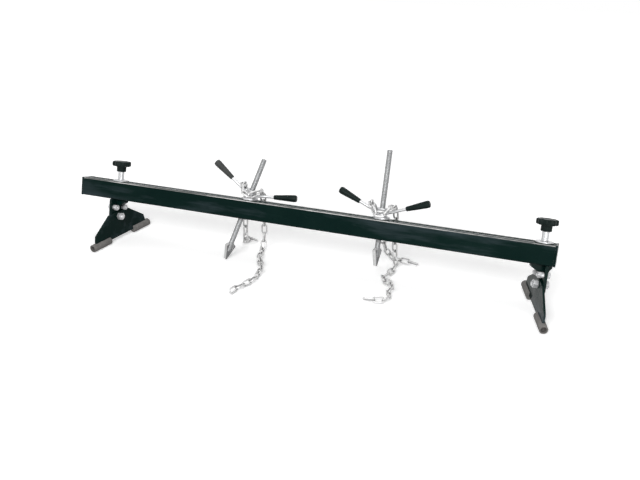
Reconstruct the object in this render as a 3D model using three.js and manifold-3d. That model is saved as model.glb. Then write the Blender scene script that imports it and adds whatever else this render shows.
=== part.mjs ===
import * as THREE from 'three';
import { mergeVertices } from 'three/addons/utils/BufferGeometryUtils.js';
import Module from 'manifold-3d';

// Two-hook engine support bar. Sizes are in millimetres, +Z is up and +X runs along the beam.
// The bar stands on its four pads and leans back against the stops of its tilting feet.

// Clearances
const FIT_GAP = 0.3;
const RUNNING_GAP = 0.5;
const CUT_OVERRUN = 2;

// Beam: two bent channels face to face, joined by end plates, with a slot along top and bottom
const BEAM_LENGTH = 1500;
const BEAM_HEIGHT = 58;
const BEAM_WIDTH = 58;
const BEAM_WALL = 4;
const BEAM_SLOT = 20;
const BEAM_BEND_RADIUS = 6;
const END_PLATE_THICKNESS = 6;

// Clamp of each foot: star knob, stud, sleeve and washer on top, guide block in the slot
const STUD_RADIUS = 6;
const STUD_THREAD_IN_KNOB = 20;
const WASHER_RADIUS = 25;
const WASHER_THICKNESS = 3.5;
const SLEEVE_RADIUS = 9.5;
const SLEEVE_LENGTH = 26.5;
const GUIDE_LENGTH = 36;
const KNOB_HUB_RADIUS = 15;
const KNOB_HUB_HEIGHT = 17;
const KNOB_HEAD_RADIUS = 27.4;
const KNOB_LOBE_DEPTH = 2.2;
const KNOB_LOBES = 8;
const KNOB_HEAD_HEIGHT = 16.5;
const KNOB_EDGE = 4;

// Swivel bracket under the beam: a narrow head under the slot and a flat leg beside the foot plate
const BRACKET_SHEET = 8;
const BRACKET_WIDTH = 63;
const HEAD_LENGTH = 58;
const HEAD_WIDTH = 16;
const HEAD_DEPTH = 29;
const BRACKET_BELOW_PIVOT = 16;
const PIVOT_DROP = 114;

// Foot plate that tilts on the pivot bolt between two stops
const PLATE_THICKNESS = 6;
const PLATE_OFFSET = 2;
const PLATE_HALF_BASE = 114;
const PLATE_CORNER_HEIGHT = 18;
const PLATE_SHOULDER_HEIGHT = 34;
const PLATE_SHOULDER_HALF = 110;
const PLATE_TOP_HALF = 43;
const STOP_ANGLE = THREE.MathUtils.degToRad(15.8);
const STOP_RISE = 29;
const STOP_HALF_SPACING = 19;

// Fasteners
const PIVOT_SHANK_RADIUS = 7;
const PIVOT_HEX_RADIUS = 12.1;
const PIVOT_HEX_HEIGHT = 14;
const STOP_SHANK_RADIUS = 5;
const STOP_HEX_RADIUS = 9.4;
const STOP_HEX_HEIGHT = 9;
const STOP_SHOULDER_RADIUS = 8;
const THREAD_STANDOUT = 4;

// Rubber pads gripping the lower edge of the foot plate
const PAD_RADIUS = 12;
const PAD_LENGTH = 76;
const PAD_REACH = 129;
const PAD_DROP = 67;
const PAD_FLAT = 0.5;
const PAD_HOLE_RADIUS = 8;
const PAD_HOLE_DEPTH = 11;

// Seat of each spindle on the rails: dished washer and domed ring about one ball centre
const BALL_RADIUS = 18;
const BALL_CENTRE_HEIGHT = 12;
const SEAT_RADIUS = 24;
const SEAT_HEIGHT = 6.7;
const RING_BOTTOM_DROP = 7.5;
const RING_TOP_DROP = 3;

// Spindle rod, arrow hook, hub nut, handles and grips
const ROD_RADIUS = 8;
const ROD_CHAMFER = 1.5;
const SPINDLE_LENGTH = 337;
const HOOK_HEIGHT = 54;
const HOOK_SEAT_HEIGHT = 30;
const HOOK_HALF_SPAN = 17;
const HOOK_SHOULDER = 7;
const HOOK_TIP_HALF = 2;
const HOOK_THICKNESS = 12;
const HUB_RADIUS = 15;
const HUB_HEIGHT = 22.7;
const HUB_COLLAR_RADIUS = 17;
const HUB_COLLAR_HEIGHT = 5;
const HANDLE_RADIUS = 4.25;
const HANDLE_RISE = 0.5;
const HANDLE_SLOPE = THREE.MathUtils.degToRad(21);
const HANDLE_START = 11;
const HANDLE_END = 120;
const GRIP_START = 76;
const GRIP_END = 147;
const GRIP_NECK_RADIUS = 6.8;
const GRIP_HEAD_RADIUS = 10.6;
const GRIP_ROUND = 4;

// Chain links
const LINK_WIRE_RADIUS = 2.75;
const LINK_WIDTH = 21;
const LINK_PITCH = 27.6;
const LINK_BITE_SHARE = 0.78;
const LINK_SLACK = 3.3;
const LINK_END_STEPS = 3;
const LINK_WIRE_SIDES = 4;

// Facets of round pieces
const ROUND_SIDES = 20;
const SMALL_SIDES = 12;
const HEX_SIDES = 6;
const BEND_STEPS = 3;

// The two ends of the bar, with the swivel of each foot about its stud
const LEFT_STUD_FROM_END = 129;
const RIGHT_STUD_FROM_END = 37.5;
const FEET = [
  { side: 'left', stud: LEFT_STUD_FROM_END - BEAM_LENGTH / 2, swivel: THREE.MathUtils.degToRad(170.6) },
  { side: 'right', stud: BEAM_LENGTH / 2 - RIGHT_STUD_FROM_END, swivel: THREE.MathUtils.degToRad(18.3) },
];

// The bar leans back until the straighter foot meets its stop
const straighter = Math.max(...FEET.map(({ swivel }) => Math.abs(Math.cos(swivel))));
const LEAN = Math.atan(Math.tan(STOP_ANGLE) / straighter);

// Places of the two spindles along the beam, and how far each hook's tip is below its ball centre
const LEFT_SEAT_FROM_MIDDLE = 159;
const RIGHT_SEAT_FROM_MIDDLE = 258;
const LEFT_HOOK_DROP = 216.4;
const RIGHT_HOOK_DROP = 151;

// The two spindles, with the lean of the rod and the turns of the handles and the hook
const SPINDLES = [
  {
    side: 'left', seat: -LEFT_SEAT_FROM_MIDDLE, drop: LEFT_HOOK_DROP,
    tilt: THREE.MathUtils.degToRad(18), turn: THREE.MathUtils.degToRad(8),
    hookTurn: THREE.MathUtils.degToRad(61),
  },
  {
    side: 'right', seat: RIGHT_SEAT_FROM_MIDDLE, drop: RIGHT_HOOK_DROP,
    tilt: THREE.MathUtils.degToRad(1), turn: THREE.MathUtils.degToRad(-5),
    hookTurn: THREE.MathUtils.degToRad(73),
  },
];

// Routes of the chains from the short end on the floor, up behind the beam, over both handles in
// front of the hub, and down to the long end on the floor
const CHAINS = [
  {
    side: 'left',
    endLinks: { short: 4, long: 13 },
    route: [
      [-186, 90, -177], [-209, 98, -177], [-222, 78, -177], [-210, 62, -176], [-203, 50, -160],
      [-202, 47, -130], [-199, 45, -90], [-195, 44, -50], [-192, 43, -5], [-188, 34, 26],
      [-182, 8, 48.6], [-172, -22, 43], [-157, -38, 28], [-140, -30, 26], [-125.5, -4, 32],
      [-129, 26, 22], [-134, 43, -5], [-134, 44, -50], [-134, 45, -90], [-136, 47, -130],
      [-139, 46, -160], [-137, 34, -176], [-131, 6, -177], [-118, -34, -177], [-98, -64, -177],
      [-84, -98, -177], [-75, -146, -177], [-80, -184, -177], [-94, -214, -177], [-104, -256, -177],
    ],
  },
  {
    side: 'right',
    endLinks: { short: 3, long: 12 },
    route: [
      [346, 104, -177], [322, 110, -177], [298, 114, -177], [276, 98, -170], [262, 74, -140],
      [252, 52, -96], [240, 44, -50], [228, 43, -5], [222, 34, 26], [225, 8, 44.8],
      [240, -26, 36], [257, -35, 24], [275, -28, 28], [288, 2, 42], [290, 28, 26],
      [290, 43, -5], [289, 44, -50], [288, 50, -96], [288, 58, -140], [291, 68, -170],
      [289, 52, -177], [288, 30, -177], [280, 6, -177], [272, -22, -177], [292, -40, -177],
      [316, -56, -177], [314, -86, -177], [318, -112, -177], [326, -136, -177], [304, -152, -177],
      [262, -160, -177],
    ],
  },
];

// Finishes
function finish(color, roughness, metalness) {
  return new THREE.MeshStandardMaterial({ color, roughness, metalness });
}
const paint = () => finish(0x0c1613, 0.3, 0.1);
const plastic = () => finish(0x1b211f, 0.5, 0);
const rubber = () => finish(0x7d7a78, 0.85, 0);
const zinc = () => finish(0xc9c9cc, 0.35, 0.9);
const steel = () => finish(0xa9aaad, 0.4, 0.9);

// Solids for cutting and joining
const wasm = await Module();
wasm.setup();

function solidOf(geometry) {
  const plain = geometry.clone();
  plain.deleteAttribute('normal');
  plain.deleteAttribute('uv');
  const merged = mergeVertices(plain, 1e-4);
  const vertProperties = new Float32Array(merged.attributes.position.array);
  const triVerts = new Uint32Array(merged.index.array);
  return new wasm.Manifold(new wasm.Mesh({ numProp: 3, vertProperties, triVerts }));
}

function geometryOf(solid) {
  const shape = solid.getMesh();
  const geometry = new THREE.BufferGeometry();
  geometry.setAttribute('position', new THREE.BufferAttribute(shape.vertProperties, 3));
  geometry.setIndex(new THREE.BufferAttribute(shape.triVerts, 1));
  geometry.computeVertexNormals();
  return geometry;
}

function join(...geometries) {
  return geometryOf(geometries.map(solidOf).reduce((whole, next) => whole.add(next)));
}

function cut(geometry, ...tools) {
  return geometryOf(tools.map(solidOf).reduce((whole, tool) => whole.subtract(tool), solidOf(geometry)));
}

// Basic shapes, placed by their ends
function block(x0, x1, y0, y1, z0, z1) {
  const box = new THREE.BoxGeometry(x1 - x0, y1 - y0, z1 - z0);
  return box.translate((x0 + x1) / 2, (y0 + y1) / 2, (z0 + z1) / 2);
}

function cylinderZ(radius, z0, z1, sides = SMALL_SIDES) {
  const cylinder = new THREE.CylinderGeometry(radius, radius, z1 - z0, sides).rotateX(Math.PI / 2);
  return cylinder.translate(0, 0, (z0 + z1) / 2);
}

function cylinderX(radius, x0, x1, sides = SMALL_SIDES) {
  const cylinder = new THREE.CylinderGeometry(radius, radius, x1 - x0, sides).rotateZ(Math.PI / 2);
  return cylinder.translate((x0 + x1) / 2, 0, 0);
}

function turned(profile, sides = ROUND_SIDES) {
  const points = profile.map(([radius, height]) => new THREE.Vector2(radius, height));
  return new THREE.LatheGeometry(points, sides).rotateX(Math.PI / 2);
}

function tube(inner, outer, z0, z1) {
  return turned([[inner, z0], [outer, z0], [outer, z1], [inner, z1], [inner, z0]]);
}

function outline(points) {
  return new THREE.Shape(points.map(([u, v]) => new THREE.Vector2(u, v)));
}

function extruded(shape, depth) {
  return new THREE.ExtrudeGeometry(shape, { depth, bevelEnabled: false, curveSegments: BEND_STEPS });
}

// Moves an extrusion so that its outline stands in Y and Z and its depth runs along X from x0
function standingAcrossX(geometry, x0) {
  const basis = new THREE.Matrix4().makeBasis(
    new THREE.Vector3(0, 1, 0),
    new THREE.Vector3(0, 0, 1),
    new THREE.Vector3(1, 0, 0),
  );
  return geometry.applyMatrix4(basis).translate(x0, 0, 0);
}

// Moves an extrusion so that its outline stands in X and Z and its depth runs along Y, centred on y
function standingAcrossY(geometry, y, depth) {
  return geometry.rotateX(Math.PI / 2).translate(0, y + depth / 2, 0);
}

function add(parent, name, geometry, material) {
  const mesh = new THREE.Mesh(geometry, material);
  mesh.name = name;
  parent.add(mesh);
  return mesh;
}

function group(parent, x = 0, y = 0, z = 0) {
  const child = new THREE.Group();
  child.position.set(x, y, z);
  parent.add(child);
  return child;
}

// Beam
function railShape() {
  const lip = BEAM_SLOT / 2;
  const side = BEAM_WIDTH / 2;
  const bend = side - BEAM_BEND_RADIUS;
  const inner = BEAM_BEND_RADIUS - BEAM_WALL;
  const low = BEAM_BEND_RADIUS - BEAM_HEIGHT;
  const shape = new THREE.Shape();
  shape.moveTo(lip, 0);
  shape.lineTo(lip, -BEAM_WALL);
  shape.lineTo(bend, -BEAM_WALL);
  shape.absarc(bend, -BEAM_BEND_RADIUS, inner, Math.PI / 2, 0, true);
  shape.lineTo(side - BEAM_WALL, low);
  shape.absarc(bend, low, inner, 0, -Math.PI / 2, true);
  shape.lineTo(lip, BEAM_WALL - BEAM_HEIGHT);
  shape.lineTo(lip, -BEAM_HEIGHT);
  shape.lineTo(bend, -BEAM_HEIGHT);
  shape.absarc(bend, low, BEAM_BEND_RADIUS, -Math.PI / 2, 0, false);
  shape.lineTo(side, -BEAM_BEND_RADIUS);
  shape.absarc(bend, -BEAM_BEND_RADIUS, BEAM_BEND_RADIUS, 0, Math.PI / 2, false);
  shape.closePath();
  return shape;
}

function makeBeam(parent) {
  const railLength = BEAM_LENGTH - 2 * (END_PLATE_THICKNESS + FIT_GAP);
  const rail = standingAcrossX(extruded(railShape(), railLength), -railLength / 2);
  add(parent, 'rail_rear', rail, paint());
  add(parent, 'rail_front', rail.clone(), paint()).rotation.z = Math.PI;
  const half = BEAM_WIDTH / 2;
  const end = BEAM_LENGTH / 2;
  const plate = block(end - END_PLATE_THICKNESS, end, -half, half, -BEAM_HEIGHT, 0);
  add(parent, 'end_plate_right', plate, paint());
  add(parent, 'end_plate_left', plate.clone(), paint()).rotation.z = Math.PI;
}

// Foot
function knobGeometry() {
  const steps = 5 * KNOB_LOBES;
  const points = [];
  for (let step = 0; step < steps; step += 1) {
    const angle = (step / steps) * 2 * Math.PI;
    const radius = KNOB_HEAD_RADIUS - KNOB_EDGE / 2 + KNOB_LOBE_DEPTH * Math.cos(KNOB_LOBES * angle);
    points.push([radius * Math.cos(angle), radius * Math.sin(angle)]);
  }
  const head = new THREE.ExtrudeGeometry(outline(points), {
    depth: KNOB_HEAD_HEIGHT - KNOB_EDGE,
    bevelThickness: KNOB_EDGE / 2,
    bevelSize: KNOB_EDGE / 2,
    bevelSegments: 1,
  });
  head.translate(0, 0, KNOB_HUB_HEIGHT + KNOB_EDGE / 2);
  const hub = cylinderZ(KNOB_HUB_RADIUS, 0, KNOB_HUB_HEIGHT + KNOB_EDGE, ROUND_SIDES);
  const bore = cylinderZ(STUD_RADIUS + FIT_GAP, -CUT_OVERRUN, STUD_THREAD_IN_KNOB + CUT_OVERRUN);
  return cut(join(head, hub), bore);
}

function bracketGeometry() {
  const top = -BEAM_HEIGHT - FIT_GAP;
  const bottom = -PIVOT_DROP - BRACKET_BELOW_PIVOT;
  const halfLength = HEAD_LENGTH / 2;
  const halfWidth = BRACKET_WIDTH / 2;
  const face = PLATE_OFFSET + PLATE_THICKNESS / 2 + FIT_GAP;
  const back = face + BRACKET_SHEET;
  const leg = block(face, back, -halfWidth, halfWidth, bottom, top);
  const headOutline = outline([
    [-halfLength, top], [-halfLength, top - BRACKET_SHEET], [face, top - HEAD_DEPTH],
    [back, top - HEAD_DEPTH], [halfLength, top - BRACKET_SHEET], [halfLength, top],
  ]);
  const head = standingAcrossY(extruded(headOutline, HEAD_WIDTH), 0, HEAD_WIDTH);
  const holes = [
    cylinderZ(STUD_RADIUS + FIT_GAP, top - BRACKET_SHEET - FIT_GAP, top + CUT_OVERRUN),
    cylinderX(PIVOT_SHANK_RADIUS + FIT_GAP, face - CUT_OVERRUN, back + CUT_OVERRUN)
      .translate(0, 0, -PIVOT_DROP),
    ...[-1, 1].map((side) => cylinderX(STOP_SHANK_RADIUS + FIT_GAP, face - CUT_OVERRUN, back + CUT_OVERRUN)
      .translate(0, side * STOP_HALF_SPACING, STOP_RISE - PIVOT_DROP)),
  ];
  return cut(join(leg, head), ...holes);
}

function footPlateGeometry() {
  const stopReach = STOP_RISE * Math.cos(STOP_ANGLE) - STOP_HALF_SPACING * Math.sin(STOP_ANGLE);
  const top = stopReach - STOP_SHOULDER_RADIUS - FIT_GAP;
  const half = [
    [PLATE_HALF_BASE, -PAD_DROP], [PLATE_HALF_BASE, PLATE_CORNER_HEIGHT - PAD_DROP],
    [PLATE_SHOULDER_HALF, PLATE_SHOULDER_HEIGHT - PAD_DROP], [PLATE_TOP_HALF, top],
  ];
  const mirrored = half.map(([u, v]) => [-u, v]).reverse();
  const sheet = extruded(outline([...half, ...mirrored]), PLATE_THICKNESS);
  const plate = standingAcrossX(sheet, PLATE_OFFSET - PLATE_THICKNESS / 2);
  const hole = cylinderX(
    PIVOT_SHANK_RADIUS + FIT_GAP,
    PLATE_OFFSET - PLATE_THICKNESS,
    PLATE_OFFSET + PLATE_THICKNESS,
  );
  return cut(plate, hole);
}

// One pad along +Y, gripping the plate's edge up to the plate's corner
function padGeometry() {
  const inner = PAD_REACH - PAD_LENGTH;
  const cylinder = new THREE.CylinderGeometry(PAD_RADIUS, PAD_RADIUS, PAD_LENGTH, ROUND_SIDES);
  cylinder.translate(PLATE_OFFSET, PAD_REACH - PAD_LENGTH / 2, -PAD_DROP);
  const halfSlot = PLATE_THICKNESS / 2 + FIT_GAP;
  const slot = block(
    PLATE_OFFSET - halfSlot, PLATE_OFFSET + halfSlot, inner - CUT_OVERRUN, PLATE_HALF_BASE + FIT_GAP,
    -PAD_DROP - FIT_GAP, PAD_RADIUS + CUT_OVERRUN - PAD_DROP,
  );
  const floorCut = block(
    PLATE_OFFSET - PAD_RADIUS, PLATE_OFFSET + PAD_RADIUS, inner - CUT_OVERRUN, PAD_REACH + CUT_OVERRUN,
    -PAD_DROP - PAD_RADIUS - CUT_OVERRUN, PAD_FLAT - PAD_DROP - PAD_RADIUS,
  );
  const hole = new THREE.CylinderGeometry(PAD_HOLE_RADIUS, PAD_HOLE_RADIUS, 2 * PAD_HOLE_DEPTH, SMALL_SIDES);
  hole.translate(PLATE_OFFSET, PAD_REACH, -PAD_DROP);
  return cut(cylinder, slot, floorCut, hole);
}

// Bolt along X with its head on the bracket side, and the nut on the plate side
function boltGeometry(shankRadius, hexRadius, hexHeight, tip) {
  const seat = PLATE_OFFSET + PLATE_THICKNESS / 2 + FIT_GAP + BRACKET_SHEET + FIT_GAP;
  const head = cylinderX(hexRadius, seat, seat + hexHeight, HEX_SIDES);
  const shank = cylinderX(shankRadius, tip, seat + hexHeight / 2);
  return join(head, shank);
}

function nutGeometry(shankRadius, hexRadius, hexHeight, seat, shoulderRadius, shoulderSeat) {
  const hex = cylinderX(hexRadius, seat - hexHeight, seat, HEX_SIDES);
  const bore = cylinderX(shankRadius + FIT_GAP, seat - hexHeight - CUT_OVERRUN, shoulderSeat + CUT_OVERRUN);
  const shoulder = cylinderX(shoulderRadius, seat - hexHeight / 2, shoulderSeat);
  return cut(join(hex, shoulder), bore);
}

function makeFoot(beam, { side, stud, swivel }) {
  const name = (piece) => `${side}_foot_${piece}`;
  const carriage = group(beam, stud);
  const sleeveBottom = WASHER_THICKNESS + 2 * FIT_GAP;
  const knobBottom = sleeveBottom + SLEEVE_LENGTH + FIT_GAP;
  const guideHalf = GUIDE_LENGTH / 2;
  const guideHalfWidth = BEAM_SLOT / 2 - FIT_GAP;
  const guide = block(
    -guideHalf, guideHalf, -guideHalfWidth, guideHalfWidth, FIT_GAP - BEAM_HEIGHT, -FIT_GAP,
  );
  const guideBore = cylinderZ(STUD_RADIUS + FIT_GAP, -BEAM_HEIGHT - CUT_OVERRUN, CUT_OVERRUN);
  add(carriage, name('guide_block'), cut(guide, guideBore), steel());
  const washer = tube(STUD_RADIUS + FIT_GAP, WASHER_RADIUS, FIT_GAP, FIT_GAP + WASHER_THICKNESS);
  add(carriage, name('washer'), washer, zinc());
  const sleeve = tube(STUD_RADIUS + FIT_GAP, SLEEVE_RADIUS, sleeveBottom, sleeveBottom + SLEEVE_LENGTH);
  add(carriage, name('sleeve'), sleeve, zinc());
  const knob = add(carriage, name('knob'), knobGeometry(), plastic());
  knob.position.z = knobBottom;
  const bracket = group(carriage);
  bracket.rotation.z = swivel;
  const studBottom = -BEAM_HEIGHT - FIT_GAP - BRACKET_SHEET;
  add(bracket, name('stud'), cylinderZ(STUD_RADIUS, studBottom, knobBottom + STUD_THREAD_IN_KNOB), zinc());
  add(bracket, name('bracket'), bracketGeometry(), paint());
  const bracketFace = PLATE_OFFSET + PLATE_THICKNESS / 2 + FIT_GAP;
  const plateFace = PLATE_OFFSET - PLATE_THICKNESS / 2 - FIT_GAP;
  [-1, 1].forEach((half, index) => {
    const tip = plateFace - STOP_HEX_HEIGHT - THREAD_STANDOUT;
    const stop = group(bracket, 0, half * STOP_HALF_SPACING, STOP_RISE - PIVOT_DROP);
    const bolt = boltGeometry(STOP_SHANK_RADIUS, STOP_HEX_RADIUS, STOP_HEX_HEIGHT, tip);
    add(stop, name(`stop_bolt_${index + 1}`), bolt, zinc());
    const nut = nutGeometry(
      STOP_SHANK_RADIUS, STOP_HEX_RADIUS, STOP_HEX_HEIGHT, plateFace,
      STOP_SHOULDER_RADIUS, bracketFace - FIT_GAP,
    );
    add(stop, name(`stop_nut_${index + 1}`), nut, zinc());
  });
  const pivot = group(bracket, 0, 0, -PIVOT_DROP);
  const pivotTip = plateFace - PIVOT_HEX_HEIGHT - THREAD_STANDOUT;
  const pivotBolt = boltGeometry(PIVOT_SHANK_RADIUS, PIVOT_HEX_RADIUS, PIVOT_HEX_HEIGHT, pivotTip);
  add(pivot, name('pivot_bolt'), pivotBolt, zinc());
  const pivotNut = cut(
    cylinderX(PIVOT_HEX_RADIUS, plateFace - PIVOT_HEX_HEIGHT, plateFace, HEX_SIDES),
    cylinderX(
      PIVOT_SHANK_RADIUS + FIT_GAP, plateFace - PIVOT_HEX_HEIGHT - CUT_OVERRUN, plateFace + CUT_OVERRUN,
    ),
  );
  add(pivot, name('pivot_nut'), pivotNut, zinc());
  const tilting = group(pivot);
  tilting.rotation.x = Math.atan(Math.cos(swivel) * Math.tan(LEAN));
  add(tilting, name('plate'), footPlateGeometry(), paint());
  add(tilting, name('pad_1'), padGeometry(), rubber());
  const mirrored = padGeometry().rotateZ(Math.PI).translate(2 * PLATE_OFFSET, 0, 0);
  add(tilting, name('pad_2'), mirrored, rubber());
}

// Spindle
function ballProfile(radius, low, high) {
  const start = Math.asin(low / radius);
  const end = Math.asin(high / radius);
  const points = [];
  for (let step = 0; step <= BEND_STEPS; step += 1) {
    const angle = start + ((end - start) * step) / BEND_STEPS;
    points.push([radius * Math.cos(angle), radius * Math.sin(angle)]);
  }
  return points;
}

function seatGeometry() {
  const low = FIT_GAP - BALL_CENTRE_HEIGHT;
  const high = low + SEAT_HEIGHT;
  const dish = ballProfile(BALL_RADIUS + FIT_GAP, low, high);
  return turned([[SEAT_RADIUS, low], [SEAT_RADIUS, high], ...dish.reverse(), [SEAT_RADIUS, low]]);
}

function ringGeometry() {
  const bore = ROD_RADIUS + RUNNING_GAP;
  const dome = ballProfile(BALL_RADIUS, -RING_BOTTOM_DROP, -RING_TOP_DROP);
  return turned([...dome, [bore, -RING_TOP_DROP], [bore, -RING_BOTTOM_DROP], dome[0]]);
}

function hookGeometry() {
  const seat = ROD_RADIUS + FIT_GAP;
  const half = [
    [HOOK_TIP_HALF, 0], [HOOK_HALF_SPAN, HOOK_HEIGHT - HOOK_SHOULDER],
    [seat, HOOK_HEIGHT], [seat, HOOK_SEAT_HEIGHT],
  ];
  const mirrored = half.map(([u, v]) => [-u, v]).reverse();
  return standingAcrossY(extruded(outline([...half, ...mirrored]), HOOK_THICKNESS), 0, HOOK_THICKNESS);
}

// Places a piece made along Z so that it points outward and up at the handles' slope
function sloped(geometry) {
  return geometry.rotateY(Math.PI / 2 - HANDLE_SLOPE).translate(0, 0, HANDLE_RISE);
}

function hubGeometry() {
  const bottom = FIT_GAP - RING_TOP_DROP;
  const top = bottom + HUB_HEIGHT;
  const shoulder = top - HUB_COLLAR_HEIGHT;
  const bore = ROD_RADIUS + FIT_GAP;
  const body = turned([
    [bore, bottom], [HUB_RADIUS, bottom], [HUB_RADIUS, shoulder], [HUB_COLLAR_RADIUS, shoulder],
    [HUB_COLLAR_RADIUS, top], [bore, top], [bore, bottom],
  ]);
  const socket = sloped(cylinderZ(HANDLE_RADIUS + FIT_GAP, ROD_RADIUS, HUB_RADIUS + HUB_COLLAR_RADIUS));
  return cut(body, socket, socket.clone().rotateZ(Math.PI));
}

function gripGeometry() {
  const bore = HANDLE_RADIUS + FIT_GAP;
  const boreEnd = HANDLE_END + FIT_GAP;
  const profile = turned([
    [bore, GRIP_START], [GRIP_NECK_RADIUS, GRIP_START], [GRIP_HEAD_RADIUS, GRIP_END - 3 * GRIP_ROUND],
    [GRIP_HEAD_RADIUS, GRIP_END - GRIP_ROUND], [GRIP_HEAD_RADIUS - GRIP_ROUND / 3, GRIP_END - GRIP_ROUND / 3],
    [GRIP_HEAD_RADIUS - GRIP_ROUND, GRIP_END], [0, GRIP_END], [0, boreEnd], [bore, boreEnd],
    [bore, GRIP_START],
  ], SMALL_SIDES);
  return profile;
}

function makeSpindle(beam, { side, seat, drop, tilt, turn, hookTurn }) {
  const name = (piece) => `${side}_spindle_${piece}`;
  const carriage = group(beam, seat, 0, BALL_CENTRE_HEIGHT);
  add(carriage, name('seat'), seatGeometry(), zinc());
  const tilting = group(carriage);
  tilting.rotation.y = tilt;
  add(tilting, name('ring'), ringGeometry(), zinc());
  const rodBottom = HOOK_SEAT_HEIGHT + FIT_GAP - drop;
  const rodTop = SPINDLE_LENGTH - drop;
  const rod = turned([
    [0, rodBottom], [ROD_RADIUS, rodBottom], [ROD_RADIUS, rodTop - ROD_CHAMFER],
    [ROD_RADIUS - ROD_CHAMFER, rodTop], [0, rodTop],
  ], SMALL_SIDES);
  add(tilting, name('rod'), rod, steel());
  const hook = add(tilting, name('hook'), hookGeometry(), steel());
  hook.position.z = -drop;
  hook.rotation.z = hookTurn;
  const nut = group(tilting);
  nut.rotation.z = turn;
  add(nut, name('hub'), hubGeometry(), zinc());
  [0, Math.PI].forEach((angle, index) => {
    const arm = group(nut);
    arm.rotation.z = angle;
    add(arm, name(`handle_${index + 1}`), sloped(cylinderZ(HANDLE_RADIUS, HANDLE_START, HANDLE_END)), zinc());
    add(arm, name(`grip_${index + 1}`), sloped(gripGeometry()), plastic());
  });
}

// Chain
function linkGeometry(start, end, across) {
  const along = end.clone().sub(start);
  const chord = along.length();
  along.normalize();
  const out = new THREE.Vector3().crossVectors(across, along).normalize();
  const endRadius = LINK_WIDTH / 2 - LINK_WIRE_RADIUS;
  const straight = chord / 2 + LINK_BITE_SHARE * LINK_WIRE_RADIUS - endRadius;
  const middle = start.clone().add(end).multiplyScalar(1 / 2);
  const stations = [];
  [0, 1].forEach((half) => {
    for (let step = 0; step <= LINK_END_STEPS; step += 1) {
      const angle = Math.PI * (half - 1 / 2 + step / LINK_END_STEPS);
      const shift = half === 0 ? straight : -straight;
      stations.push({ angle, shift });
    }
  });
  const positions = [];
  stations.forEach(({ angle, shift }) => {
    const radial = along.clone().multiplyScalar(Math.cos(angle)).addScaledVector(out, Math.sin(angle));
    const centre = middle.clone().addScaledVector(along, shift).addScaledVector(radial, endRadius);
    for (let side = 0; side < LINK_WIRE_SIDES; side += 1) {
      const turn = (side / LINK_WIRE_SIDES) * 2 * Math.PI;
      const point = centre.clone()
        .addScaledVector(radial, LINK_WIRE_RADIUS * Math.cos(turn))
        .addScaledVector(across, LINK_WIRE_RADIUS * Math.sin(turn));
      positions.push(point.x, point.y, point.z);
    }
  });
  const index = [];
  stations.forEach((_, ring) => {
    const next = (ring + 1) % stations.length;
    for (let side = 0; side < LINK_WIRE_SIDES; side += 1) {
      const beside = (side + 1) % LINK_WIRE_SIDES;
      const [a, b] = [ring * LINK_WIRE_SIDES + side, next * LINK_WIRE_SIDES + side];
      const [c, d] = [next * LINK_WIRE_SIDES + beside, ring * LINK_WIRE_SIDES + beside];
      index.push(a, b, c, a, c, d);
    }
  });
  const geometry = new THREE.BufferGeometry();
  geometry.setAttribute('position', new THREE.Float32BufferAttribute(positions, 3));
  geometry.setIndex(index);
  return geometry;
}

// Lays links along a route, neighbours square to each other. The links of one run bite into each
// other, and the end links of the two floor runs only hang in their neighbours.
function makeChain(parent, { side, endLinks, route }) {
  const curve = new THREE.CatmullRomCurve3(route.map((point) => new THREE.Vector3(...point)));
  const count = Math.round(curve.getLength() / LINK_PITCH);
  const contacts = curve.getSpacedPoints(count);
  const runs = { short_end: [], drape: [], long_end: [] };
  const square = new THREE.Vector3(0, 0, 1);
  for (let link = 0; link < count; link += 1) {
    const along = contacts[link + 1].clone().sub(contacts[link]).normalize();
    square.addScaledVector(along, -square.dot(along)).normalize();
    const across = square.clone().applyAxisAngle(along, Math.PI * (1 / 4 + link / 2));
    const start = contacts[link].clone();
    const end = contacts[link + 1].clone();
    if (link === endLinks.short - 1) end.addScaledVector(along, LINK_SLACK);
    if (link === count - endLinks.long) start.addScaledVector(along, -LINK_SLACK);
    const run = link < endLinks.short ? 'short_end' : link < count - endLinks.long ? 'drape' : 'long_end';
    runs[run].push(linkGeometry(start, end, across));
  }
  Object.entries(runs).forEach(([run, links]) => add(parent, `${side}_chain_${run}`, join(...links), zinc()));
}

// Whole bar, with the origin on the floor under the middle of its bounding box
const bar = new THREE.Group();
const beam = group(bar);
beam.rotation.x = -LEAN;
makeBeam(beam);
FEET.forEach((foot) => makeFoot(beam, foot));
SPINDLES.forEach((spindle) => makeSpindle(beam, spindle));
CHAINS.forEach((chain) => makeChain(bar, chain));
const box = new THREE.Box3().setFromObject(bar, true);
const middle = box.getCenter(new THREE.Vector3());
bar.position.set(-middle.x, -middle.y, -box.min.z);
const supportBar = new THREE.Group();
supportBar.add(bar);

export default supportBar;
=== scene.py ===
"""The visible pieces of an engine support bar, with materials, floor, light and camera.

Lengths are in millimetres in the frame of the group that a piece belongs to, as in the part's
source. Those that go straight to Blender, in materials, lights and the floor's glow, are in metres.
"""
import math

import bmesh
import bpy
from mathutils import Matrix, Vector


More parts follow.
